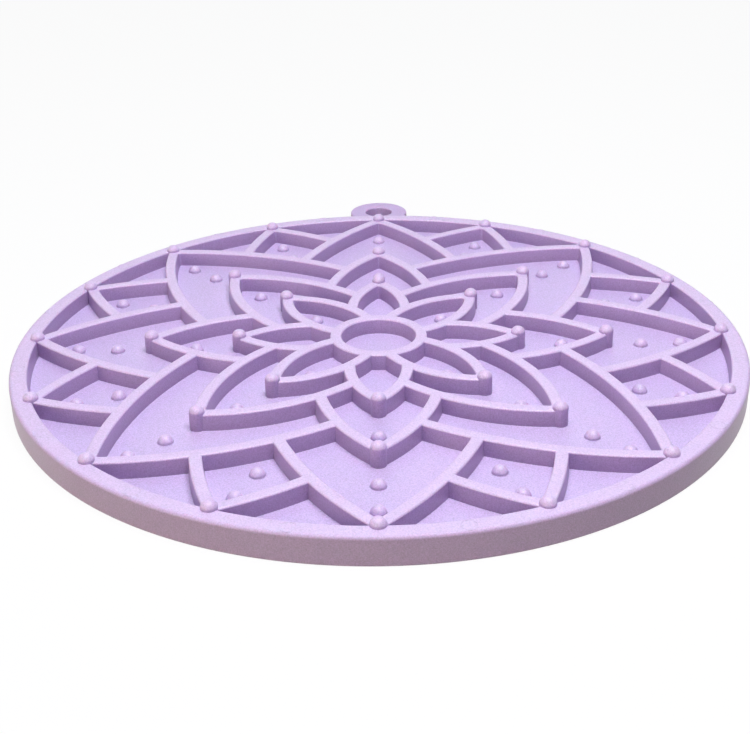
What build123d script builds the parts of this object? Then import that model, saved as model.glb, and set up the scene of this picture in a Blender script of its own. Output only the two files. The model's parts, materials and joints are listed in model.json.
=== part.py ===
"""Round lick mat with a lotus of raised petal walls, after a photograph.

The mat is one soft moulding. It is modelled as the features that the moulding is made of: the base disc,
the rim, the hanging tab, the centre ring, four rows of petal walls, the studs on the petal tips and the
nubs on the floor. Every feature meets its neighbours face to face.

Millimetres, +Z up. The origin is the centre of the disc, on its underside. The tab points along +Y.
"""
import os
from math import atan2, degrees

from build123d import *

# Driving dimensions of the disc, its walls and its rim
mat_diameter = 203.2
floor_thickness = 3.1
wall_height = 4.4
wall_thickness = 3.2
rim_width = 4.8

# Centre ring
ring_inner_diameter = 21.0

# Petal rows, from the centre outwards: the radius of the tip studs, half the widest span of the petal
# between its wall centres, and the radius where it is widest. The two outer rows reach the rim.
inner_tip_radius = 39.5
inner_half_width = 7.8
inner_widest_radius = 19.5
middle_tip_radius = 64.4
middle_half_width = 16.0
middle_widest_radius = 26.2
outer_half_width = 30.6
outer_widest_radius = 23.0
rim_petal_half_width = 29.1
rim_petal_widest_radius = 26.0

# Studs on the petal tips, and how far their middles stand ahead of the point where the wall centres meet
stud_diameter = 3.8
stud_height = 1.9
stud_lead = 0.5

# Nubs on the floor. Those of the outer rows stand at two shares of the way from the middle row's tips to
# the rim.
nub_diameter = 3.9
nub_height = 2.0
inner_nub_radius = 26.2
outer_nub_shares = [0.31, 0.655]

# Domes of the studs and nubs: the shoulder and the flat crown, as shares of the dome's height and radius.
# They are many and small, so they are faceted, and measured across their flats.
shoulder_rise = 0.62
shoulder_reach = 0.78
crown_reach = 0.34
stud_sides = 8
nub_sides = 6

# Hanging tab: the web between hole and rim, the wall round the hole and the flare into the rim
hole_diameter = 9.2
hole_web = 0.5
tab_wall = 5.4
tab_thickness = 7.0
tab_root_fillet = 2.5
tab_root_edge = 0.3

# Counts
petals_per_row = 8

# Sizes that follow from the driving dimensions
mat_radius = mat_diameter / 2
rim_inner_radius = mat_radius - rim_width
ring_inner_radius = ring_inner_diameter / 2
ring_outer_radius = ring_inner_radius + wall_thickness
wall_top = floor_thickness + wall_height
petal_pitch = 360 / petals_per_row
hole_centre = mat_radius + hole_web + hole_diameter / 2
tab_end_radius = hole_diameter / 2 + tab_wall
middle_nub_radius = (inner_tip_radius + middle_tip_radius) / 2
nub_span = rim_inner_radius - middle_tip_radius
outer_nub_radii = [middle_tip_radius + share * nub_span for share in outer_nub_shares]

os.makedirs("parts", exist_ok=True)


def hand_in(part, name):
    """Label a finished piece and write it to its own file."""
    part.label = name
    export_step(part, f"parts/{name}.step")


def petal_outline(tip_radius, half_width, widest_radius, margin):
    """Filled ogive along +X, between two equal arcs that meet at the tip.

    The arcs run along the middle of the petal's wall, and margin grows the outline outwards or inwards from
    there. The half of the ogive behind the mat's centre is cut off, and so is a point that would reach
    through the front of the tip stud.
    """
    arc_tip = tip_radius - stud_lead
    wall_end = tip_radius + stud_lead
    arc_radius = ((arc_tip - widest_radius) ** 2 + half_width**2) / (2 * half_width)
    centre_offset = arc_radius - half_width
    with BuildSketch() as outline:
        with Locations((widest_radius, -centre_offset)):
            Circle(arc_radius + margin)
        with Locations((widest_radius, centre_offset)):
            Circle(arc_radius + margin, mode=Mode.INTERSECT)
        Rectangle(wall_end, mat_diameter, align=(Align.MIN, Align.CENTER), mode=Mode.INTERSECT)
    return outline.sketch


def petal_walls(shape, turns, covered):
    """Walls of the petals of one shape at some angles, less what the petals in front of them cover."""
    filled = petal_outline(*shape, wall_thickness / 2)
    pocket = petal_outline(*shape, -wall_thickness / 2)
    with BuildPart() as walls:
        with BuildSketch(Plane.XY.offset(floor_thickness)):
            for turn in turns:
                add(filled, rotation=turn)
            for turn in turns:
                add(pocket, rotation=turn, mode=Mode.SUBTRACT)
            add(covered, mode=Mode.SUBTRACT)
            Circle(rim_inner_radius, mode=Mode.INTERSECT)
        extrude(amount=wall_height)
    return walls.part


def cover_also(covered, shape, turns):
    """The covered plan of the petals so far, with the filled petals of one more layer."""
    filled = petal_outline(*shape, wall_thickness / 2)
    with BuildSketch() as plan:
        add(covered)
        for turn in turns:
            add(filled, rotation=turn)
    return plan.sketch


def domed_post(diameter, sides, post_height, dome_height):
    """Faceted dome on a post of its own width, or on the ground where the post has no height."""
    radius = diameter / 2
    shoulder_radius = radius * shoulder_reach
    shoulder_height = dome_height * shoulder_rise
    crown_height = dome_height - shoulder_height
    skirt_taper = degrees(atan2(radius - shoulder_radius, shoulder_height))
    crown_taper = degrees(atan2(shoulder_radius - radius * crown_reach, crown_height))
    with BuildPart() as post:
        if post_height > 0:
            with BuildSketch():
                RegularPolygon(radius, sides, major_radius=False)
            extrude(amount=post_height)
        with BuildSketch(Plane.XY.offset(post_height)):
            RegularPolygon(radius, sides, major_radius=False)
        extrude(amount=shoulder_height, taper=skirt_taper)
        with BuildSketch(Plane.XY.offset(post_height + shoulder_height)):
            RegularPolygon(shoulder_radius, sides, major_radius=False)
        extrude(amount=crown_height, taper=crown_taper)
    return post.part


def ring_of(piece, height, radii, count, first_angle):
    """One part with a copy of a piece at each of a count of places on some circles."""
    with BuildPart(Plane.XY.offset(height)) as group:
        for radius in radii:
            with PolarLocations(radius, count, start_angle=first_angle):
                add(piece)
    return group.part


# Base disc, which carries everything and lies on its underside
with BuildPart() as base_disc:
    Cylinder(mat_radius, floor_thickness, align=(Align.CENTER, Align.CENTER, Align.MIN))
hand_in(base_disc.part, "base_disc")

# Rim wall round the edge of the disc
with BuildPart() as rim_wall:
    with BuildSketch(Plane.XY.offset(floor_thickness)):
        Circle(mat_radius)
        Circle(rim_inner_radius, mode=Mode.SUBTRACT)
    extrude(amount=wall_height)
hand_in(rim_wall.part, "rim_wall")

# Hanging tab: a round lug whose sides flare into the rim, with a blunt edge where the flare runs out
with BuildPart() as hang_tab:
    with BuildSketch() as tab_plan:
        Circle(mat_radius - tab_root_edge)
        with Locations((0, hole_centre)):
            Circle(tab_end_radius)
        roots = tab_plan.vertices().filter_by(lambda corner: 0 < corner.Y < hole_centre)
        fillet(roots, tab_root_fillet)
        Circle(mat_radius, mode=Mode.SUBTRACT)
    extrude(amount=tab_thickness)
    with Locations((0, hole_centre, tab_thickness)):
        Hole(hole_diameter / 2)
hand_in(hang_tab.part, "hang_tab")

# Centre ring round the well
with BuildPart() as centre_ring:
    with BuildSketch(Plane.XY.offset(floor_thickness)):
        Circle(ring_outer_radius)
        Circle(ring_inner_radius, mode=Mode.SUBTRACT)
    extrude(amount=wall_height)
hand_in(centre_ring.part, "centre_ring")

# Petal walls, from the front layer to the back one. In each of the first three rows the diagonal petals
# stand in front of the straight ones. A wall behind stops at the outside of the petals in front of it, at
# the studs and at the rim. The petals of the two inner rows are pieces by themselves, and those of a layer
# at the rim share one piece.
inner_shape = (inner_tip_radius, inner_half_width, inner_widest_radius)
middle_shape = (middle_tip_radius, middle_half_width, middle_widest_radius)
outer_shape = (rim_inner_radius, outer_half_width, outer_widest_radius)
rim_petal_shape = (rim_inner_radius, rim_petal_half_width, rim_petal_widest_radius)
straight = range(0, petals_per_row, 2)
diagonal = range(1, petals_per_row, 2)

with BuildSketch() as front:
    Circle(ring_outer_radius)
    for tip_radius in (inner_tip_radius, middle_tip_radius):
        with PolarLocations(tip_radius, petals_per_row):
            RegularPolygon(stud_diameter / 2, stud_sides, major_radius=False)
covered = front.sketch

for row_name, shape in (("inner_petal", inner_shape), ("middle_petal", middle_shape)):
    for places in (diagonal, straight):
        for place in places:
            hand_in(petal_walls(shape, [place * petal_pitch], covered), f"{row_name}_{place + 1}")
        covered = cover_also(covered, shape, [place * petal_pitch for place in places])

for layer_name, shape, places, first_angle in (
    ("outer_petals_front", outer_shape, diagonal, 0),
    ("outer_petals_back", outer_shape, straight, 0),
    ("rim_petals", rim_petal_shape, range(petals_per_row), petal_pitch / 2),
):
    turns = [first_angle + place * petal_pitch for place in places]
    hand_in(petal_walls(shape, turns, covered), layer_name)
    covered = cover_also(covered, shape, turns)

# Studs: on the two inner rows a domed post ahead of every petal tip, and on the rim a dome over every tip
post_stud = domed_post(stud_diameter, stud_sides, wall_height, stud_height)
rim_stud = domed_post(stud_diameter, stud_sides, 0, stud_height)
hand_in(ring_of(post_stud, floor_thickness, [inner_tip_radius], petals_per_row, 0), "inner_studs")
hand_in(ring_of(post_stud, floor_thickness, [middle_tip_radius], petals_per_row, 0), "middle_studs")
hand_in(ring_of(rim_stud, wall_top, [rim_inner_radius], 2 * petals_per_row, 0), "rim_studs")

# Nubs: domes on the floor along the middles of the petals
nub = domed_post(nub_diameter, nub_sides, 0, nub_height)
hand_in(ring_of(nub, floor_thickness, [inner_nub_radius], petals_per_row // 2, petal_pitch), "inner_nubs")
hand_in(ring_of(nub, floor_thickness, [middle_nub_radius], petals_per_row, 0), "middle_nubs")
hand_in(ring_of(nub, floor_thickness, outer_nub_radii, petals_per_row, 0), "outer_nubs")
hand_in(ring_of(nub, floor_thickness, outer_nub_radii, petals_per_row, petal_pitch / 2), "rim_nubs")
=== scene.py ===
"""Looks of the lick mat: a round lilac rubber moulding with a lotus of petal walls.

Metres, +Z up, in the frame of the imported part. The origin is the middle of the underside, and the hanging tab
points along +Y. Each moulded piece stands for one node of the part, with drafted walls, soft edges and round
domes. The pin marks on the rim stand for none. A wall that ends against a wall in front of it runs on to the
middle of that wall, a few thousandths of a millimetre lower, so that the moulding reads as one.
"""
import json
import logging
import math
from collections.abc import Sequence
from dataclasses import dataclass
from enum import IntEnum

import bmesh
import bpy
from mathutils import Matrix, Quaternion, Vector


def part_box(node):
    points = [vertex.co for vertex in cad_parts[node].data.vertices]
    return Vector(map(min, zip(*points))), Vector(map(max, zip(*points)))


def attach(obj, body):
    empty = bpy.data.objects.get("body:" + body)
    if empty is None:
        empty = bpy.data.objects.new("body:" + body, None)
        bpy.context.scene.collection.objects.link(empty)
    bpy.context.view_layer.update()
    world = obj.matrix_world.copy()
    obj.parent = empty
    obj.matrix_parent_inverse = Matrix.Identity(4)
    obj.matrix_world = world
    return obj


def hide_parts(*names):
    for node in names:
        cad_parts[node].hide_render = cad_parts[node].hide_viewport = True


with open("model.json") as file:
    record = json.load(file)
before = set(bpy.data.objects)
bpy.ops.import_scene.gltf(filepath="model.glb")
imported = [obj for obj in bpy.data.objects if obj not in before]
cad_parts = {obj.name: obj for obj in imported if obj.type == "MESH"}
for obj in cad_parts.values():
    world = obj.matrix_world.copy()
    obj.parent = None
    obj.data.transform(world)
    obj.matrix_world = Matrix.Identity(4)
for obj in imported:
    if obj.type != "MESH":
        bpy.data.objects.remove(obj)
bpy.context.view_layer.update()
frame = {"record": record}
log = logging.getLogger("lick_mat")

MM = 0.001
BODY = "root"
PETALS_PER_ROW = 8
PETAL_PITCH = math.tau / PETALS_PER_ROW
LAYER_STEP = 0.005 * MM
WELD_DISTANCE = 0.002 * MM
SHARP_ANGLE = math.radians(35)
UPRIGHT_AXIS = (0.0, 0.0, 1.0)
WHITE = (1.0, 1.0, 1.0, 1.0)

Point = tuple[float, float]
Place = tuple[float, float, float]
Colour = tuple[float, float, float, float]


class Layer(IntEnum):
    """Order of the walls from the front one to the one behind all others."""

    RING = 0
    INNER_DIAGONAL = 1
    INNER_STRAIGHT = 2
    MIDDLE_DIAGONAL = 3
    MIDDLE_STRAIGHT = 4
    OUTER_DIAGONAL = 5
    OUTER_STRAIGHT = 6
    RIM_PETAL = 7

    @property
    def sink(self) -> float:
        """How far the tops of this layer lie under the front layer's."""
        return self.value * LAYER_STEP


# Small helpers


def arc(centre: Point, radius: float, start: float, end: float, steps: int) -> list[Point]:
    """Points on a circular arc, with both ends.

    Args:
        centre: The middle of the circle.
        radius: Its radius.
        start: The first point's angle, in degrees.
        end: The last point's angle, in degrees.
        steps: The number of chords.

    Returns:
        The points in order.
    """
    angles = [math.radians(start + (end - start) * step / steps) for step in range(steps + 1)]
    return [(centre[0] + radius * math.cos(a), centre[1] + radius * math.sin(a)) for a in angles]


def put_in_scene(name: str, data: bpy.types.ID) -> bpy.types.Object:
    """Make an object and add it to the scene.

    Args:
        name: The object's name.
        data: Its mesh, light or camera.

    Returns:
        The object, at the origin.
    """
    made = bpy.data.objects.new(name, data)
    bpy.context.scene.collection.objects.link(made)
    return made


def aim(holder: bpy.types.Object, place: Place, target: Place, roll: float = 0.0) -> None:
    """Move a light or camera to its place and point it at a target.

    Args:
        holder: The light's or camera's object.
        place: Where it stands.
        target: What it points at.
        roll: How far it is turned about its own axis.
    """
    sight = Vector(target) - Vector(place)
    holder.location = place
    holder.rotation_mode = "QUATERNION"
    holder.rotation_quaternion = sight.to_track_quat("-Z", "Y") @ Quaternion(UPRIGHT_AXIS, roll)


def soften(piece: bpy.types.Object) -> bpy.types.Object:
    """Shade a piece smooth, with its true corners left sharp.

    Args:
        piece: The object to shade.

    Returns:
        The same object.
    """
    piece.data.shade_smooth()
    piece.data.set_sharp_from_angle(angle=SHARP_ANGLE)
    return piece


def hand_over(piece: bpy.types.Object, *nodes: str) -> None:
    """Let a finished piece ride on the mat and stand for some nodes.

    Args:
        piece: The finished object.
        nodes: The nodes that it stands for, or none where it is a mark on one.
    """
    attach(piece, BODY)
    if nodes:
        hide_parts(*nodes)
    log.info("%s: %d faces, for %s", piece.name, len(piece.data.polygons), ", ".join(nodes) or "no node")


# Node trees


class Wire:
    """An output socket of a node tree. Arithmetic on it adds Math nodes to its tree."""

    def __init__(self, graph: "Graph", socket: bpy.types.NodeSocket) -> None:
        """Keep the socket and the graph that holds it."""
        self.graph = graph
        self.socket = socket

    def __add__(self, other: "Wire | float") -> "Wire":
        """This value plus another."""
        return self.graph.maths("ADD", self, other)

    def __sub__(self, other: "Wire | float") -> "Wire":
        """This value less another."""
        return self.graph.maths("SUBTRACT", self, other)

    def __rsub__(self, other: float) -> "Wire":
        """A number less this value."""
        return self.graph.maths("SUBTRACT", other, self)

    def __mul__(self, other: "Wire | float") -> "Wire":
        """This value times another."""
        return self.graph.maths("MULTIPLY", self, other)

    def __truediv__(self, other: "Wire | float") -> "Wire":
        """This value over another."""
        return self.graph.maths("DIVIDE", self, other)

    def __rtruediv__(self, other: float) -> "Wire":
        """A number over this value."""
        return self.graph.maths("DIVIDE", other, self)

    __radd__ = __add__
    __rmul__ = __mul__


class Graph:
    """A node tree under construction."""

    def __init__(self, tree: bpy.types.NodeTree) -> None:
        """Keep the tree that the nodes go into."""
        self.tree = tree

    @classmethod
    def cleared(cls, owner: bpy.types.Material | bpy.types.World) -> "Graph":
        """Switch on the nodes of a material or of the surroundings, and empty them.

        Args:
            owner: What the nodes belong to.

        Returns:
            The empty tree.
        """
        owner.use_nodes = True
        owner.node_tree.nodes.clear()
        return cls(owner.node_tree)

    def node(self, kind: str, settings: dict | None = None, inputs: dict | None = None) -> bpy.types.Node:
        """Add a node.

        Args:
            kind: The node's type.
            settings: The node's own properties, which are set first.
            inputs: A value or a wire for each socket, by the socket's name or place.

        Returns:
            The new node.
        """
        made = self.tree.nodes.new(kind)
        for name, value in (settings or {}).items():
            setattr(made, name, value)
        for key, value in (inputs or {}).items():
            if isinstance(value, Wire):
                self.tree.links.new(value.socket, made.inputs[key])
            else:
                made.inputs[key].default_value = value
        return made

    def wire(
        self, kind: str, settings: dict | None = None, inputs: dict | None = None, output: int | str = 0
    ) -> Wire:
        """Add a node and give one of its outputs.

        Args:
            kind: The node's type.
            settings: The node's own properties.
            inputs: A value or a wire for each socket.
            output: The output's name or place.

        Returns:
            The output as a wire.
        """
        return Wire(self, self.node(kind, settings, inputs).outputs[output])

    def maths(self, operation: str, *values: Wire | float) -> Wire:
        """Add a Math node with this operation on some values, and give its result."""
        return self.wire("ShaderNodeMath", {"operation": operation}, dict(enumerate(values)))

    def clamped(self, value: Wire) -> Wire:
        """The value, held between nought and one."""
        return self.maths("MINIMUM", self.maths("MAXIMUM", value, 0.0), 1.0)

    def blend(self, share: Wire | float, first: object, second: object, way: str = "MIX") -> Wire:
        """Two colours, mixed by a share of the second."""
        settings = {"data_type": "RGBA", "blend_type": way}
        return self.wire("ShaderNodeMix", settings, {0: share, 6: first, 7: second}, output=2)

    def split(self, vector: Wire) -> tuple[Wire, Wire, Wire]:
        """The three parts of a vector."""
        parts = self.node("ShaderNodeSeparateXYZ", inputs={0: vector})
        return tuple(Wire(self, parts.outputs[axis]) for axis in "XYZ")


class ShapeTree(Graph):
    """Geometry Nodes that bend a sheet of points round a profile, copy it on rings and bake it to a mesh."""

    FLOAT = "NodeSocketFloat"
    WHOLE = "NodeSocketInt"
    COMMON_INPUTS = {
        "Profile": "NodeSocketObject",
        "Profile Points": WHOLE,
        "Rows": WHOLE,
        "Count": WHOLE,
        "First Turn": FLOAT,
        "Turn Step": FLOAT,
        "Finish": "NodeSocketMaterial",
    }

    def __init__(self, name: str, own_inputs: dict[str, str]) -> None:
        """Make the tree with its named inputs.

        Args:
            name: The tree's name.
            own_inputs: Name and socket type of the inputs beyond the common ones.
        """
        super().__init__(bpy.data.node_groups.new(name, "GeometryNodeTree"))
        self.identifiers: dict[str, str] = {}
        for label, kind in {**self.COMMON_INPUTS, **own_inputs}.items():
            socket = self.tree.interface.new_socket(label, in_out="INPUT", socket_type=kind)
            self.identifiers[label] = socket.identifier
        self.tree.interface.new_socket("Geometry", in_out="OUTPUT", socket_type="NodeSocketGeometry")
        self.group_input = self.tree.nodes.new("NodeGroupInput")

    def value(self, label: str) -> Wire:
        """One of the tree's named inputs."""
        return Wire(self, self.group_input.outputs[label])

    def sheet(self) -> tuple[Wire, Wire, Wire, Wire]:
        """A grid with a column for each point of the profile.

        Returns:
            The grid, each vertex's row, and the profile's distance and height in the vertex's column.
        """
        rows = self.value("Rows")
        columns = self.value("Profile Points")

        # The grid is one unit wide and has its middle at the origin
        sides = {"Size X": 1.0, "Size Y": 1.0, "Vertices X": rows, "Vertices Y": columns}
        grid = self.wire("GeometryNodeMeshGrid", inputs=sides)
        position = self.wire("GeometryNodeInputPosition")
        across, up, _ = self.split(position)
        row = (across + 0.5) * (rows - 1)
        column = (up + 0.5) * (columns - 1)

        # Each column reads its own point of the profile
        guide = {"Object": self.value("Profile")}
        profile = self.wire("GeometryNodeObjectInfo", inputs=guide, output="Geometry")
        place = self.wire("FunctionNodeFloatToInt", {"rounding_mode": "ROUND"}, {0: column})
        kind = {"data_type": "FLOAT_VECTOR", "domain": "POINT"}
        sample = {"Geometry": profile, "Value": position, "Index": place}
        distance, _, height = self.split(self.wire("GeometryNodeSampleIndex", kind, sample))
        return grid, row, distance, height

    def bent(self, sheet: Wire, x: Wire, y: Wire, z: Wire) -> Wire:
        """The sheet with its vertices at these coordinates."""
        spot = self.wire("ShaderNodeCombineXYZ", inputs={"X": x, "Y": y, "Z": z})
        return self.wire("GeometryNodeSetPosition", inputs={"Geometry": sheet, "Position": spot})

    def welded(self, shape: Wire) -> Wire:
        """The shape with the vertices merged that lie on each other."""
        return self.wire("GeometryNodeMergeByDistance", inputs={"Geometry": shape, "Distance": WELD_DISTANCE})

    def flipped(self, shape: Wire) -> Wire:
        """The shape with its faces turned round."""
        return self.wire("GeometryNodeFlipFaces", inputs={"Mesh": shape})

    def finish_on(self, points: Wire, shape: Wire, turn: Wire) -> None:
        """Set a copy of the shape on each point, and end the tree.

        Args:
            points: Where the copies go.
            shape: What is copied.
            turn: The angle of each copy about the upright axis.
        """
        spin = self.wire("ShaderNodeCombineXYZ", inputs={"Z": turn})
        rotation = self.wire("FunctionNodeEulerToRotation", inputs={0: spin})
        copies = {"Points": points, "Instance": shape, "Rotation": rotation}
        placed = self.wire("GeometryNodeInstanceOnPoints", inputs=copies)
        real = self.wire("GeometryNodeRealizeInstances", inputs={"Geometry": placed})
        dressed = {"Geometry": real, "Material": self.value("Finish")}
        self.node("NodeGroupOutput", inputs={0: self.wire("GeometryNodeSetMaterial", inputs=dressed)})

    def bake(self, name: str, profile: Sequence[Point], values: dict[str, object]) -> bpy.types.Object:
        """Run the tree and keep its result as a plain mesh.

        Args:
            name: The new object's name.
            profile: Distances and heights of the profile's points, in order.
            values: What the other named inputs are set to.

        Returns:
            The object, at the origin and with no modifier.
        """
        outline = bpy.data.meshes.new("profile")
        outline.from_pydata([(distance, 0.0, height) for distance, height in profile], [], [])
        guide = put_in_scene("profile", outline)
        piece = put_in_scene(name, bpy.data.meshes.new(name))
        modifier = piece.modifiers.new("shape", "NODES")
        modifier.node_group = self.tree
        settings = {"Profile": guide, "Profile Points": len(profile), **values}
        for label, value in settings.items():
            modifier[self.identifiers[label]] = value
        depsgraph = bpy.context.evaluated_depsgraph_get()
        baked = bpy.data.meshes.new_from_object(piece.evaluated_get(depsgraph), depsgraph=depsgraph)
        baked.name = name
        piece.modifiers.clear()
        piece.data = baked
        bpy.data.objects.remove(guide)
        return soften(piece)


@dataclass(frozen=True)
class Ring:
    """Equal places on one or more circles round the middle of the mat."""

    radius: float = 0.0
    count: int = 1
    first_turn: float = 0.0
    rings: int = 1
    ring_step: float = 0.0


class TurnedTree(ShapeTree):
    """Profiles turned about an upright axis, on one or more rings round the middle of the mat."""

    def __init__(self) -> None:
        """Build the tree."""
        own_inputs = {"Ring Radius": self.FLOAT, "Rings": self.WHOLE, "Ring Step": self.FLOAT}
        super().__init__("turned_pieces", own_inputs)
        sheet, row, distance, height = self.sheet()
        angle = row * math.tau / (self.value("Rows") - 1)
        x = distance * self.maths("COSINE", angle)
        y = distance * self.maths("SINE", angle)
        turned = self.welded(self.bent(sheet, x, y, height))

        # The points fill one ring after the other
        count = self.value("Count")
        index = self.wire("GeometryNodeInputIndex")
        ring = self.maths("FLOOR", (index + 0.5) / count)
        turn = self.value("First Turn") + (index - ring * count) * self.value("Turn Step")
        radius = self.value("Ring Radius") + ring * self.value("Ring Step")
        place = {"X": radius * self.maths("COSINE", turn), "Y": radius * self.maths("SINE", turn)}
        spot = self.wire("ShaderNodeCombineXYZ", inputs=place)
        spots = {"Count": count * self.value("Rings"), "Position": spot}
        self.finish_on(self.wire("GeometryNodePoints", inputs=spots), turned, turn)

    def make(
        self, name: str, profile: Sequence[Point], finish: bpy.types.Material, segments: int, ring: Ring
    ) -> bpy.types.Object:
        """Turn a profile and set it on a ring.

        Args:
            name: The piece's name.
            profile: Radii and heights, from the axis to the axis or round to the first point again.
            finish: The piece's material.
            segments: The number of flats round the axis.
            ring: Where the copies stand.

        Returns:
            The finished object.
        """
        values = {
            "Rows": segments + 1,
            "Count": ring.count,
            "First Turn": ring.first_turn,
            "Turn Step": math.tau / ring.count,
            "Finish": finish,
            "Ring Radius": ring.radius,
            "Rings": ring.rings,
            "Ring Step": ring.ring_step,
        }
        return self.bake(name, profile, values)


class PetalTree(ShapeTree):
    """Ogive petals: two walls along equal arcs, mitred at the tip, whose inner ends follow a stop circle.

    The pocket's corner at the tip is rounded.
    """

    LENGTHS = (
        "Arc Radius",
        "Widest Radius",
        "Centre Offset",
        "Stop X",
        "Stop Y",
        "Stop Radius",
        "Cap Height",
    )
    ROW_CROWDING = 1.5
    TIP_FILLET = 0.5 * MM

    def __init__(self) -> None:
        """Build the tree."""
        super().__init__("petal_walls", dict.fromkeys(self.LENGTHS, self.FLOAT))
        sheet, row, distance, height = self.sheet()
        rows = self.value("Rows")
        widest = self.value("Widest Radius")
        offset = self.value("Centre Offset")
        cap_height = self.value("Cap Height")

        # The first row shrinks to one point inside the wall's end and closes it
        open_row = self.maths("MINIMUM", row, 1.0)
        left = 1 - self.maths("MAXIMUM", row - 1, 0.0) / (rows - 2)
        along = 1 - self.maths("POWER", left, self.ROW_CROWDING)
        arc_radius = self.value("Arc Radius") + distance * open_row
        lift = cap_height + (height - cap_height) * open_row

        # Every line of the wall runs from the stop circle to the petal's axis
        stop_x = self.value("Stop X") - widest
        stop_y = self.value("Stop Y") + offset
        span = self.maths("SQRT", stop_x * stop_x + stop_y * stop_y)
        stop_radius = self.value("Stop Radius")
        reach = arc_radius * arc_radius + span * span - stop_radius * stop_radius
        bearing = self.maths("ARCTAN2", stop_y, stop_x)
        start = bearing - self.maths("ARCCOSINE", reach / (2 * arc_radius * span))
        tip = self.maths("ARCSINE", offset / arc_radius)
        angle = start + (tip - start) * along
        x = widest + arc_radius * self.maths("COSINE", angle)
        y = arc_radius * self.maths("SINE", angle) - offset

        # The lines on the pocket's side leave their arcs near the axis, and cross it squarely
        slope = self.maths("TANGENT", tip)
        short = self.maths("MAXIMUM", slope * self.TIP_FILLET - y, 0.0)
        inside = self.maths("LESS_THAN", distance, -WELD_DISTANCE)
        x = x - inside * short * short / (2 * self.TIP_FILLET)
        wall = self.bent(sheet, x, y, lift)

        # The other wall is this one mirrored, and the faces of both point outwards
        mirrored = self.wire("GeometryNodeTransform", inputs={"Geometry": wall, "Scale": (1.0, -1.0, 1.0)})
        both = self.node("GeometryNodeJoinGeometry")
        for half in (self.flipped(wall), mirrored):
            self.tree.links.new(half.socket, both.inputs[0])
        petal = self.welded(Wire(self, both.outputs[0]))
        index = self.wire("GeometryNodeInputIndex")
        turn = self.value("First Turn") + index * self.value("Turn Step")
        spots = self.wire("GeometryNodePoints", inputs={"Count": self.value("Count")})
        self.finish_on(spots, petal, turn)


@dataclass(frozen=True)
class Trees:
    """The two shape trees that the parts are made with."""

    turned: TurnedTree
    petals: PetalTree


# Finishes


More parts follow.
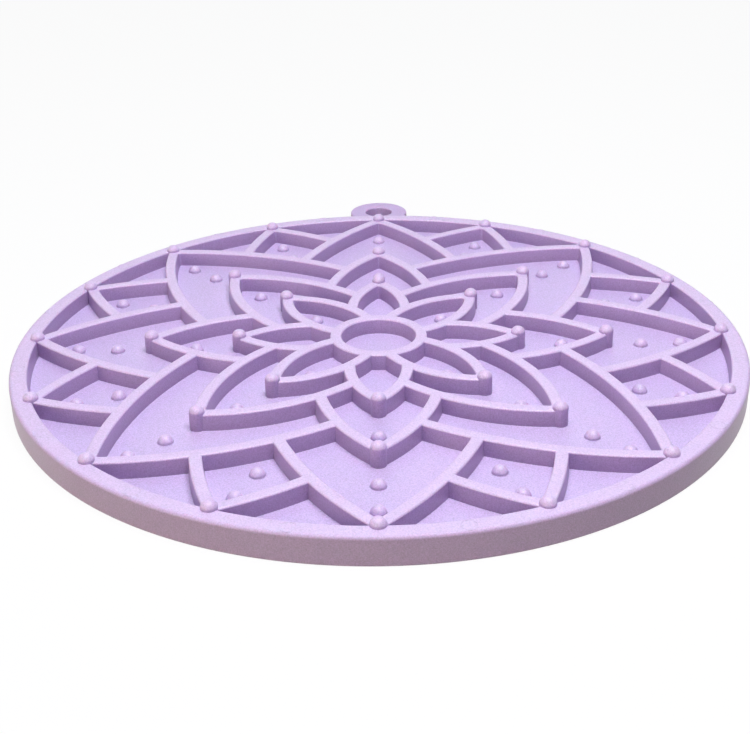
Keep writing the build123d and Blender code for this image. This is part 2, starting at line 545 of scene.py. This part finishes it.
@dataclass(frozen=True)
class RubberFinish:
    """Satin lilac rubber, sandy on the floor of the pockets, with painted shade: upright faces, pocket floors,
    wall feet and the rim's outer edge are darker than the tops.
    """

    floor_level: float
    floor_radius: float
    rim_radius: float
    top_colour: Colour = (0.735, 0.580, 0.830, 1.0)
    # Painted shade: upright faces take this darker copy of the top colour, which stands in for the shade on
    # them.
    side_painted_shade_colour: Colour = (0.565, 0.412, 0.680, 1.0)
    # Painted shade: the pocket floors take this darker colour, which stands in for the shade that the walls
    # cast on them.
    floor_painted_shade_colour: Colour = (0.660, 0.520, 0.800, 1.0)
    upright_slope: float = 0.10
    level_slope: float = 0.38
    # Painted shade: the walls darken towards their feet over this height, as in shaded corners.
    painted_foot_reach: float = 4.4 * MM
    painted_foot_shade: float = 0.34
    edge_reach: float = 1.2 * MM
    # Painted shade: how far the rim's outer rounding takes the darker side colour.
    painted_edge_shade: float = 0.60
    edge_roughness: float = 0.30
    fade: float = 0.4 * MM
    mottle_scale: float = 55.0
    mottle_detail: float = 4.0
    mottle_amount: float = 0.05
    grain_scale: float = 3000.0
    grain_detail: float = 3.0
    grain_contrast: float = 3.0
    wall_grain: float = 0.24
    floor_grain: float = 0.30
    grain_depth: float = 0.015 * MM
    roughness: float = 0.38
    roughness_spread: float = 0.06
    refraction: float = 1.55
    subsurface: float = 0.30
    subsurface_radius: tuple[float, float, float] = (1.5 * MM, 0.7 * MM, 0.9 * MM)
    subsurface_scale: float = 1.0

    def material(self) -> bpy.types.Material:
        """Build the node material.

        Returns:
            The material.
        """
        made = bpy.data.materials.new("lilac_rubber")
        graph = Graph.cleared(made)
        place = graph.wire("ShaderNodeTexCoord", output="Object")
        across, along, up = graph.split(place)
        height = up - self.floor_level
        levelness = graph.split(graph.wire("ShaderNodeTexCoord", output="Normal"))[2]

        # Where the floor of the pockets, the rim's outer edge, the level faces and the feet of the walls are
        squared_radius = across * across + along * along
        within = graph.maths("LESS_THAN", squared_radius, self.floor_radius**2)
        on_floor = (1 - graph.clamped(height / self.fade)) * within
        edge_start = (self.rim_radius - self.edge_reach) ** 2
        # The rim's outer rounding, which gets painted shade in its colour and a duller gloss.
        rim_edge = graph.clamped((squared_radius - edge_start) / (self.rim_radius**2 - edge_start))
        # Painted shade: steep faces, and the rim's outer rounding, lean towards the darker side colour.
        level_share = (levelness - self.upright_slope) / (self.level_slope - self.upright_slope)
        faces_up = graph.clamped(level_share) * (1 - rim_edge * self.painted_edge_shade)
        # Painted shade at the feet of the walls, fading out upwards.
        foot = (1 - graph.clamped(height / self.painted_foot_reach)) * within * (1 - faces_up)

        # Broad mottling and fine sandy grain
        mottle = self.noise(graph, place, self.mottle_scale, self.mottle_detail)
        grain = self.noise(graph, place, self.grain_scale, self.grain_detail) * self.grain_contrast
        sandiness = self.wall_grain + on_floor * (self.floor_grain - self.wall_grain)

        # Colour, with painted shade on the upright faces, the pocket floors, the feet of the walls and the
        # rim's outer edge; gloss and relief
        # The tone carries random mottle and grain, and the painted shade at the feet of the walls.
        tone = (1 + mottle * self.mottle_amount + grain * sandiness) * (1 - foot * self.painted_foot_shade)
        # Painted shade on the pocket floors.
        level = graph.blend(on_floor, self.top_colour, self.floor_painted_shade_colour)
        # Painted shade on the upright faces, mixed over the top and floor colours.
        plain = graph.blend(faces_up, self.side_painted_shade_colour, level)
        colour = graph.blend(1.0, plain, tone, "MULTIPLY")
        dulled = rim_edge * graph.clamped(levelness) * self.edge_roughness
        roughness = self.roughness + grain * self.roughness_spread + dulled
        relief = grain * (sandiness / self.floor_grain)
        bump = graph.wire("ShaderNodeBump", inputs={"Height": relief, "Distance": self.grain_depth})
        shader = graph.wire(
            "ShaderNodeBsdfPrincipled",
            {"subsurface_method": "RANDOM_WALK"},
            {
                "Base Color": colour,
                "Roughness": roughness,
                "Normal": bump,
                "IOR": self.refraction,
                "Subsurface Weight": self.subsurface,
                "Subsurface Radius": self.subsurface_radius,
                "Subsurface Scale": self.subsurface_scale,
            },
        )
        graph.node("ShaderNodeOutputMaterial", inputs={"Surface": shader})
        return made

    @staticmethod
    def noise(graph: Graph, place: Wire, scale: float, detail: float) -> Wire:
        """A noise at a place, from minus a half to a half."""
        settings = {"Vector": place, "Scale": scale, "Detail": detail}
        return graph.wire("ShaderNodeTexNoise", inputs=settings) - 0.5


# The mat's parts


@dataclass(frozen=True)
class WallProfile:
    """Cross-section of a wall: drafted sides, soft top edges and a foot that is sunk into the floor."""

    floor: float
    top: float
    thickness: float
    edge_radius: float = 0.5 * MM
    draft: float = math.radians(4.5)
    sunk: float = 0.3 * MM
    guard: float = 0.15 * MM
    edge_steps: int = 5

    @property
    def foot(self) -> float:
        """Height of the sunk foot."""
        return self.floor - self.sunk

    def side(self) -> list[Point]:
        """One side of the wall.

        Returns:
            Distances from the wall's middle and heights, from the foot to the flat top.
        """
        half = self.thickness / 2
        shoulder = self.top - self.edge_radius
        lean = math.tan(self.draft)
        points = [(half + (shoulder - self.foot) * lean, self.foot)]
        points.append((half + self.guard * lean, shoulder - self.guard))
        points += arc((half - self.edge_radius, shoulder), self.edge_radius, 0, 90, self.edge_steps)
        points.append((half - self.edge_radius - self.guard, self.top))
        return points

    def points(self) -> list[Point]:
        """The whole outline.

        Returns:
            Distances and heights, from the middle of the foot round to it again.
        """
        side = self.side()
        mirrored = [(-distance, height) for distance, height in reversed(side)]
        foot = (0.0, self.foot)
        return [foot, *side, (0.0, self.top), *mirrored, foot]


@dataclass(frozen=True)
class MatSizes:
    """Sizes that the parts share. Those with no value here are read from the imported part."""

    mat_radius: float
    floor: float
    wall_top: float
    ring_radius: float
    tab_top: float
    tab_end: float
    hole_centre: float
    hole_radius: float
    wall_thickness: float = 3.2 * MM
    rim_width: float = 4.8 * MM
    inner_tip_radius: float = 39.5 * MM
    middle_tip_radius: float = 64.4 * MM

    @classmethod
    def from_frame(cls) -> "MatSizes":
        """Read the sizes from the nodes' boxes and the hanging hole's mount.

        Returns:
            The sizes.
        """
        hole = next(mount for mount in frame["record"]["mounts"] if mount["name"] == "hang_hole")
        disc_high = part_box("base_disc")[1]
        tab_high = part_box("hang_tab")[1]
        return cls(
            mat_radius=disc_high.x,
            floor=disc_high.z,
            wall_top=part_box("rim_wall")[1].z,
            ring_radius=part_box("centre_ring")[1].x - cls.wall_thickness / 2,
            tab_top=tab_high.z,
            tab_end=tab_high.y,
            hole_centre=hole["pos_m"][1],
            hole_radius=hole["dims"]["r_mm"] * MM,
        )

    @property
    def rim_inner_radius(self) -> float:
        """Radius of the rim's inner side."""
        return self.mat_radius - self.rim_width

    def wall(self, layer: Layer) -> WallProfile:
        """Cross-section of the walls of a layer."""
        return WallProfile(self.floor, self.wall_top - layer.sink, self.wall_thickness)


@dataclass
class BaseDisc:
    """The flat disc under the pockets, with a soft lower edge."""

    sizes: MatSizes
    edge_radius: float = 0.3 * MM
    guard: float = 0.2 * MM
    edge_steps: int = 5
    segments: int = 288

    def build(self, trees: Trees, finish: bpy.types.Material) -> None:
        """Turn the disc.

        Args:
            trees: The shape trees.
            finish: The rubber.
        """
        radius = self.sizes.mat_radius
        floor = self.sizes.floor
        inset = radius - self.edge_radius
        profile = [(0.0, 0.0), (inset - self.guard, 0.0)]
        profile += arc((inset, self.edge_radius), self.edge_radius, -90, 0, self.edge_steps)
        profile += [(radius, self.edge_radius + self.guard), (radius, floor), (0.0, floor)]
        piece = trees.turned.make("moulded_base_disc", profile, finish, self.segments, Ring())
        hand_over(piece, "base_disc")


@dataclass
class RimWall:
    """The wall round the edge of the disc, flush with the disc's side, with pin marks on its top."""

    sizes: MatSizes
    outer_edge_radius: float = 0.9 * MM
    tuck: float = 0.6 * MM
    segments: int = 288
    mark_radius: float = 2.0 * MM
    mark_width: float = 0.3 * MM
    mark_height: float = 0.06 * MM
    mark_count: int = 16
    mark_segments: int = 32

    def build(self, trees: Trees, finish: bpy.types.Material) -> None:
        """Turn the rim and set the marks on it.

        Args:
            trees: The shape trees.
            finish: The rubber.
        """
        sizes = self.sizes
        outer = sizes.mat_radius
        wall = sizes.wall(Layer.RING)
        shoulder = sizes.wall_top - self.outer_edge_radius
        inset = outer - self.outer_edge_radius
        middle = sizes.rim_inner_radius + sizes.wall_thickness / 2
        inner_side = [(middle - distance, height) for distance, height in reversed(wall.side())]
        profile = [(outer, sizes.floor), (outer, shoulder - wall.guard)]
        profile += arc((inset, shoulder), self.outer_edge_radius, 0, 90, wall.edge_steps)
        profile += [(inset - wall.guard, sizes.wall_top), *inner_side]
        profile += [(outer - self.tuck, wall.foot), (outer, sizes.floor)]
        piece = trees.turned.make("moulded_rim_wall", profile, finish, self.segments, Ring())
        hand_over(piece, "rim_wall")
        self.build_marks(trees, finish)

    def build_marks(self, trees: Trees, finish: bpy.types.Material) -> None:
        """Set the round marks of the mould's pins between the studs.

        Args:
            trees: The shape trees.
            finish: The rubber.
        """
        top = self.sizes.wall_top
        height = self.mark_height
        inner = self.mark_radius - self.mark_width
        crest = (self.mark_radius - self.mark_width / 2, top + height)
        sole = [(inner, top - height), (self.mark_radius, top - height)]
        profile = [*sole, crest, sole[0]]
        step = math.tau / self.mark_count
        middle = (self.sizes.mat_radius + self.sizes.rim_inner_radius) / 2
        ring = Ring(middle, self.mark_count, step / 2)
        hand_over(trees.turned.make("rim_pin_marks", profile, finish, self.mark_segments, ring))


@dataclass
class CentreRing:
    """The ring wall round the well in the middle."""

    sizes: MatSizes
    segments: int = 128

    def build(self, trees: Trees, finish: bpy.types.Material) -> None:
        """Turn the ring.

        Args:
            trees: The shape trees.
            finish: The rubber.
        """
        middle = self.sizes.ring_radius
        profile = [(middle + distance, height) for distance, height in self.sizes.wall(Layer.RING).points()]
        piece = trees.turned.make("moulded_centre_ring", profile, finish, self.segments, Ring())
        hand_over(piece, "centre_ring")


@dataclass
class HangTab:
    """The round lug with the hanging hole, whose sides flare into the rim."""

    sizes: MatSizes
    edge_radius: float = 0.5 * MM
    root_fillet: float = 2.5 * MM
    root_edge: float = 0.3 * MM
    tuck: float = 2.5 * MM
    edge_steps: int = 5
    root_steps: int = 10
    round_steps: int = 48

    def outline(self, inset: float) -> list[Point]:
        """Plan of the lug, drawn in by an inset.

        Args:
            inset: How far inside the true outline the points lie.

        Returns:
            The points from the right root round the end to the left root, and back inside the rim.
        """
        sizes = self.sizes
        end_radius = sizes.tab_end - sizes.hole_centre
        to_hole = end_radius + self.root_fillet
        to_middle = sizes.mat_radius - self.root_edge + self.root_fillet
        root_y = (to_middle**2 - to_hole**2 + sizes.hole_centre**2) / (2 * sizes.hole_centre)
        root_x = math.sqrt(to_middle**2 - root_y**2)
        rim_side = math.degrees(math.atan2(-root_y, -root_x)) + 360
        end_side = math.degrees(math.atan2(sizes.hole_centre - root_y, -root_x))
        right_root = arc((root_x, root_y), self.root_fillet + inset, rim_side, end_side, self.root_steps)
        left_root = [(-x, y) for x, y in reversed(right_root)]
        hole_centre = (0.0, sizes.hole_centre)
        end = arc(hole_centre, end_radius - inset, end_side - 180, 360 - end_side, self.round_steps)
        inner_y = right_root[0][1] - self.tuck
        corner = right_root[0][0]
        return [(corner, inner_y), *right_root, *end[1:-1], *left_root, (-corner, inner_y)]

    def hole(self, inset: float) -> list[Point]:
        """Plan of the hole, widened by an inset."""
        hole_centre = (0.0, self.sizes.hole_centre)
        return arc(hole_centre, self.sizes.hole_radius + inset, 0, 360, self.round_steps)[:-1]

    def build(self, trees: Trees, finish: bpy.types.Material) -> None:
        """Model the lug with soft edges and its hole.

        Args:
            trees: The shape trees, which the lug makes no use of.
            finish: The rubber.
        """
        radius = self.edge_radius
        quarter = arc((0.0, 0.0), radius, 0, 90, self.edge_steps)
        lower = [(radius - sine, radius - cosine) for cosine, sine in quarter]
        upper = [(inset, self.sizes.tab_top - height) for inset, height in reversed(lower)]
        insets = [inset for inset, _ in lower + upper]
        heights = [height for _, height in lower + upper]
        shape = bmesh.new()
        for plan in (self.outline, self.hole):
            self.stack(shape, [plan(inset) for inset in insets], heights)
        for level in (heights[0], heights[-1]):
            ends = [edge for edge in shape.edges if edge.is_boundary]
            rims = [edge for edge in ends if abs(edge.verts[0].co.z - level) < WELD_DISTANCE]
            bmesh.ops.triangle_fill(shape, use_beauty=True, edges=rims)
        bmesh.ops.recalc_face_normals(shape, faces=shape.faces)
        mesh = bpy.data.meshes.new("moulded_hang_tab")
        shape.to_mesh(mesh)
        shape.free()
        mesh.materials.append(finish)
        hand_over(soften(put_in_scene("moulded_hang_tab", mesh)), "hang_tab")

    @staticmethod
    def stack(shape: bmesh.types.BMesh, loops: list[list[Point]], heights: list[float]) -> None:
        """Join closed loops at some heights by strips of faces.

        Args:
            shape: The mesh that the faces go into.
            loops: Plans with equally many points.
            heights: The height of each loop.
        """
        rings = []
        for loop, height in zip(loops, heights, strict=True):
            rings.append([shape.verts.new((x, y, height)) for x, y in loop])
        for low, high in zip(rings, rings[1:]):
            for here in range(len(low)):
                ahead = (here + 1) % len(low)
                shape.faces.new((low[here], low[ahead], high[ahead], high[here]))


@dataclass(frozen=True)
class StopCircle:
    """The middle line of a wall in front, where the walls behind it end."""

    x: float
    y: float
    radius: float


@dataclass(frozen=True)
class PetalShape:
    """Plan of a petal: two equal arcs along the middle of its wall, from the widest span to the tip."""

    tip_radius: float
    half_width: float
    widest_radius: float
    stud_lead: float = 0.5 * MM

    @property
    def arc_radius(self) -> float:
        """Radius of both arcs."""
        length = self.tip_radius - self.stud_lead - self.widest_radius
        return (length**2 + self.half_width**2) / (2 * self.half_width)

    @property
    def centre_offset(self) -> float:
        """Distance of the arcs' centres from the petal's axis."""
        return self.arc_radius - self.half_width

    def facing_wall(self, turn: float) -> StopCircle:
        """The near wall of such a petal, turned about the mat's middle.

        Args:
            turn: The petal's angle.

        Returns:
            The circle along the middle of that wall.
        """
        centre = Vector((self.widest_radius, self.centre_offset, 0.0))
        centre.rotate(Quaternion(UPRIGHT_AXIS, turn))
        return StopCircle(centre.x, centre.y, self.arc_radius)


@dataclass
class PetalLayer:
    """Petals of one shape that stand in front of, or behind, the other layers together."""

    sizes: MatSizes
    layer: Layer
    shape: PetalShape
    stop: StopCircle
    first_turn: float
    count: int
    row_length: float = 0.9 * MM

    def build(self, trees: Trees, finish: bpy.types.Material, nodes: Sequence[str]) -> None:
        """Build the petals.

        Args:
            trees: The shape trees.
            finish: The rubber.
            nodes: One node for each petal, or one for them all.
        """
        wall = self.sizes.wall(self.layer)
        step = math.tau / self.count
        together = self.count // len(nodes)
        values = {
            "Rows": int(self.shape.tip_radius / self.row_length),
            "Count": together,
            "Turn Step": step,
            "Finish": finish,
            "Arc Radius": self.shape.arc_radius,
            "Widest Radius": self.shape.widest_radius,
            "Centre Offset": self.shape.centre_offset,
            "Stop X": self.stop.x,
            "Stop Y": self.stop.y,
            "Stop Radius": self.stop.radius,
            "Cap Height": (wall.foot + wall.top) / 2,
        }
        for place, node in enumerate(nodes):
            values["First Turn"] = self.first_turn + place * together * step
            hand_over(trees.petals.bake(f"moulded_{node}", wall.points(), values), node)


@dataclass
class Lotus:
    """All petal walls, from the centre ring to the rim."""

    sizes: MatSizes
    inner_half_width: float = 7.8 * MM
    inner_widest_radius: float = 19.5 * MM
    middle_half_width: float = 16.0 * MM
    middle_widest_radius: float = 26.2 * MM
    outer_half_width: float = 30.6 * MM
    outer_widest_radius: float = 23.0 * MM
    rim_half_width: float = 29.1 * MM
    rim_widest_radius: float = 26.0 * MM

    def build(self, trees: Trees, finish: bpy.types.Material) -> None:
        """Build the layers from the front one to the back one.

        Args:
            trees: The shape trees.
            finish: The rubber.
        """
        sizes = self.sizes
        inner = PetalShape(sizes.inner_tip_radius, self.inner_half_width, self.inner_widest_radius)
        middle = PetalShape(sizes.middle_tip_radius, self.middle_half_width, self.middle_widest_radius)
        outer = PetalShape(sizes.rim_inner_radius, self.outer_half_width, self.outer_widest_radius)
        rim = PetalShape(sizes.rim_inner_radius, self.rim_half_width, self.rim_widest_radius)
        ring = StopCircle(0.0, 0.0, sizes.ring_radius)
        straight = range(1, PETALS_PER_ROW + 1, 2)
        diagonal = range(2, PETALS_PER_ROW + 1, 2)
        inner_diagonal = [f"inner_petal_{number}" for number in diagonal]
        inner_straight = [f"inner_petal_{number}" for number in straight]
        middle_diagonal = [f"middle_petal_{number}" for number in diagonal]
        middle_straight = [f"middle_petal_{number}" for number in straight]
        pitch = PETAL_PITCH
        half_row = PETALS_PER_ROW // 2
        for layer, shape, stop, first_turn, count, nodes in (
            (Layer.INNER_DIAGONAL, inner, ring, pitch, half_row, inner_diagonal),
            (Layer.INNER_STRAIGHT, inner, inner.facing_wall(pitch), 0.0, half_row, inner_straight),
            (Layer.MIDDLE_DIAGONAL, middle, inner.facing_wall(pitch), pitch, half_row, middle_diagonal),
            (Layer.MIDDLE_STRAIGHT, middle, middle.facing_wall(pitch), 0.0, half_row, middle_straight),
            (Layer.OUTER_DIAGONAL, outer, middle.facing_wall(pitch), pitch, half_row, ["outer_petals_front"]),
            (Layer.OUTER_STRAIGHT, outer, outer.facing_wall(pitch), 0.0, half_row, ["outer_petals_back"]),
            (Layer.RIM_PETAL, rim, outer.facing_wall(pitch / 2), pitch / 2, PETALS_PER_ROW, ["rim_petals"]),
        ):
            PetalLayer(sizes, layer, shape, stop, first_turn, count).build(trees, finish, nodes)


@dataclass
class Studs:
    """Domes on the petal tips: on round posts in the two inner rows, and on the rim."""

    sizes: MatSizes
    radius: float = 2.0 * MM
    draft: float = math.radians(0.5)
    neck: float = 0.2 * MM
    dome_height: float = 1.75 * MM
    sunk: float = 0.3 * MM
    dome_steps: int = 8
    segments: int = 32

    def dome(self, base: float) -> list[Point]:
        """Profile of the dome.

        Args:
            base: The height of its edge.

        Returns:
            Radii and heights, from the edge to the crown.
        """
        unit = arc((0.0, 0.0), 1.0, 0, 90, self.dome_steps)
        points = [(x * self.radius, base + y * self.dome_height) for x, y in unit]
        points[-1] = (0.0, base + self.dome_height)
        return points

    def build(self, trees: Trees, finish: bpy.types.Material) -> None:
        """Set the studs on the three rings.

        Args:
            trees: The shape trees.
            finish: The rubber.
        """
        sizes = self.sizes
        wall = sizes.wall(Layer.RING)
        spread = (wall.top - wall.foot) * math.tan(self.draft)
        post = [(0.0, wall.foot), (self.radius + spread, wall.foot), (self.radius, wall.top)]
        cap = [(0.0, wall.top - self.sunk), (self.radius, wall.top - self.sunk)]
        for node, foot, ring in (
            ("inner_studs", post, Ring(sizes.inner_tip_radius, PETALS_PER_ROW)),
            ("middle_studs", post, Ring(sizes.middle_tip_radius, PETALS_PER_ROW)),
            ("rim_studs", cap, Ring(sizes.rim_inner_radius, 2 * PETALS_PER_ROW)),
        ):
            profile = foot + self.dome(wall.top + self.neck)
            hand_over(trees.turned.make(f"moulded_{node}", profile, finish, self.segments, ring), node)


@dataclass
class Nubs:
    """Round nubs with a flared foot, on the floor along the middles of the petals."""

    sizes: MatSizes
    height: float = 2.02 * MM
    crown_radius: float = 2.0 * MM
    lean: float = math.radians(8.0)
    flare: float = 0.2 * MM
    inner_ring_radius: float = 26.2 * MM
    outer_shares: tuple[float, float] = (0.31, 0.655)
    sunk: float = 0.2 * MM
    flare_steps: int = 4
    dome_steps: int = 8
    segments: int = 28

    def profile(self) -> list[Point]:
        """The flared foot, the leaning flank and the round crown.

        Returns:
            Radii and heights, from the axis under the floor to the top.
        """
        floor = self.sizes.floor
        slant = math.degrees(self.lean)
        crown_height = self.height - self.crown_radius
        base = self.crown_radius / math.cos(self.lean) + crown_height * math.tan(self.lean)
        edge = base + self.flare * (1 - math.sin(self.lean)) / math.cos(self.lean)
        start = [(0.0, floor - self.sunk), (edge, floor - self.sunk)]
        foot = arc((edge, floor + self.flare), self.flare, 270, 180 + slant, self.flare_steps)
        crown = arc((0.0, floor + crown_height), self.crown_radius, slant, 90, self.dome_steps)
        return start + foot + crown[:-1] + [(0.0, floor + self.height)]

    def build(self, trees: Trees, finish: bpy.types.Material) -> None:
        """Set the nubs on their rings.

        Args:
            trees: The shape trees.
            finish: The rubber.
        """
        sizes = self.sizes
        middle_radius = (sizes.inner_tip_radius + sizes.middle_tip_radius) / 2
        span = sizes.rim_inner_radius - sizes.middle_tip_radius
        outer_radius = sizes.middle_tip_radius + self.outer_shares[0] * span
        step = (self.outer_shares[1] - self.outer_shares[0]) * span
        rings = len(self.outer_shares)
        half_turn = PETAL_PITCH / 2
        for node, ring in (
            ("inner_nubs", Ring(self.inner_ring_radius, PETALS_PER_ROW // 2, PETAL_PITCH)),
            ("middle_nubs", Ring(middle_radius, PETALS_PER_ROW)),
            ("outer_nubs", Ring(outer_radius, PETALS_PER_ROW, 0.0, rings, step)),
            ("rim_nubs", Ring(outer_radius, PETALS_PER_ROW, half_turn, rings, step)),
        ):
            hand_over(trees.turned.make(f"moulded_{node}", self.profile(), finish, self.segments, ring), node)


# Studio


@dataclass(frozen=True)
class SoftBox:
    """A square soft light that points at the middle of the mat."""

    name: str
    place: Place
    side: float
    power: float
    colour: tuple[float, float, float]

    def build(self) -> None:
        """Hang the light."""
        lamp = bpy.data.lights.new(self.name, "AREA")
        lamp.shape = "SQUARE"
        lamp.size = self.side
        lamp.energy = self.power
        lamp.color = self.colour
        aim(put_in_scene(self.name, lamp), self.place, (0.0, 0.0, 0.0))


@dataclass
class Studio:
    """Pale floor, white surroundings, soft lights and the photograph's camera."""

    ambient: float = 0.01
    floor_side: float = 6.0
    floor_drop: float = 0.02 * MM
    floor_bounce: Colour = (0.61, 0.59, 0.44, 1.0)
    floor_glow: float = 0.94
    camera_place: Place = (2.2 * MM, -317.79 * MM, 154.18 * MM)
    camera_target: Place = (-1.093 * MM, -5.75 * MM, 0.0)
    camera_roll: float = math.radians(-0.975)
    lens: float = 59.271
    sensor: float = 36.0
    near_limit: float = 10.0 * MM
    lights: tuple[SoftBox, ...] = (
        SoftBox("overhead", place=(0.04, -0.11, 0.50), side=0.3, power=2.8, colour=(0.93, 0.91, 1.0)),
        SoftBox("back", place=(0.0, 1.5, 2.0), side=1.4, power=9.0, colour=(0.60, 0.82, 1.0)),
        SoftBox("warm_left", place=(-0.85, -0.75, 0.20), side=0.5, power=3.6, colour=(1.0, 0.87, 0.60)),
    )

    def build(self) -> None:
        """Set up everything round the mat."""
        self.build_world()
        self.build_floor()
        self.build_camera()
        for box in self.lights:
            box.build()

    @staticmethod
    def seen(graph: Graph) -> Wire:
        """Tell the rays that show the surroundings from those that light the mat.

        Args:
            graph: The tree that asks.

        Returns:
            One for rays from the camera, and for those that show the surroundings in gloss or glass.
        """
        path = graph.node("ShaderNodeLightPath")
        rays = ("Is Camera Ray", "Is Glossy Ray", "Is Transmission Ray")
        camera, glossy, through = (Wire(graph, path.outputs[name]) for name in rays)
        return graph.maths("MINIMUM", camera + glossy + through, 1.0)

    def build_world(self) -> None:
        """Surroundings that look white and light the mat softly."""
        world = bpy.data.worlds.new("studio")
        bpy.context.scene.world = world
        graph = Graph.cleared(world)
        light = graph.wire("ShaderNodeBackground", inputs={"Color": WHITE, "Strength": self.ambient})
        white = graph.wire("ShaderNodeBackground", inputs={"Color": WHITE, "Strength": 1.0})
        mixed = graph.wire("ShaderNodeMixShader", inputs={0: self.seen(graph), 1: light, 2: white})
        graph.node("ShaderNodeOutputWorld", inputs={"Surface": mixed})

    def build_floor(self) -> None:
        """A wide pale floor that keeps the mat's shadow."""
        made = bpy.data.materials.new("pale_floor")
        graph = Graph.cleared(made)
        bounce = graph.wire("ShaderNodeBsdfDiffuse", inputs={"Color": self.floor_bounce})
        shade = graph.wire("ShaderNodeBsdfDiffuse", inputs={"Color": WHITE})
        glow = graph.wire("ShaderNodeEmission", inputs={"Color": WHITE, "Strength": 1.0})
        shown = graph.wire("ShaderNodeMixShader", inputs={0: self.floor_glow, 1: shade, 2: glow})
        mixed = graph.wire("ShaderNodeMixShader", inputs={0: self.seen(graph), 1: bounce, 2: shown})
        graph.node("ShaderNodeOutputMaterial", inputs={"Surface": mixed})
        half = self.floor_side / 2
        level = -self.floor_drop
        corners = [(-half, -half, level), (half, -half, level), (half, half, level), (-half, half, level)]
        mesh = bpy.data.meshes.new("studio_floor")
        mesh.from_pydata(corners, [], [(0, 1, 2, 3)])
        mesh.materials.append(made)
        put_in_scene("studio_floor", mesh)

    def build_camera(self) -> None:
        """The camera at the photograph's viewing angle."""
        lens = bpy.data.cameras.new("photo_camera")
        lens.lens = self.lens
        lens.sensor_width = self.sensor
        lens.clip_start = self.near_limit
        camera = put_in_scene("photo_camera", lens)
        aim(camera, self.camera_place, self.camera_target, self.camera_roll)
        bpy.context.scene.camera = camera


def main() -> None:
    """Build the mat's parts in order, and the studio round them."""
    logging.basicConfig(level=logging.INFO, format="%(name)s: %(message)s")
    bpy.context.scene.view_settings.view_transform = "Standard"
    sizes = MatSizes.from_frame()
    finish = RubberFinish(sizes.floor, sizes.rim_inner_radius, sizes.mat_radius).material()
    trees = Trees(TurnedTree(), PetalTree())
    for part in (BaseDisc, RimWall, HangTab, CentreRing, Lotus, Studs, Nubs):
        part(sizes).build(trees, finish)
    Studio().build()


if __name__ == "__main__":
    main()
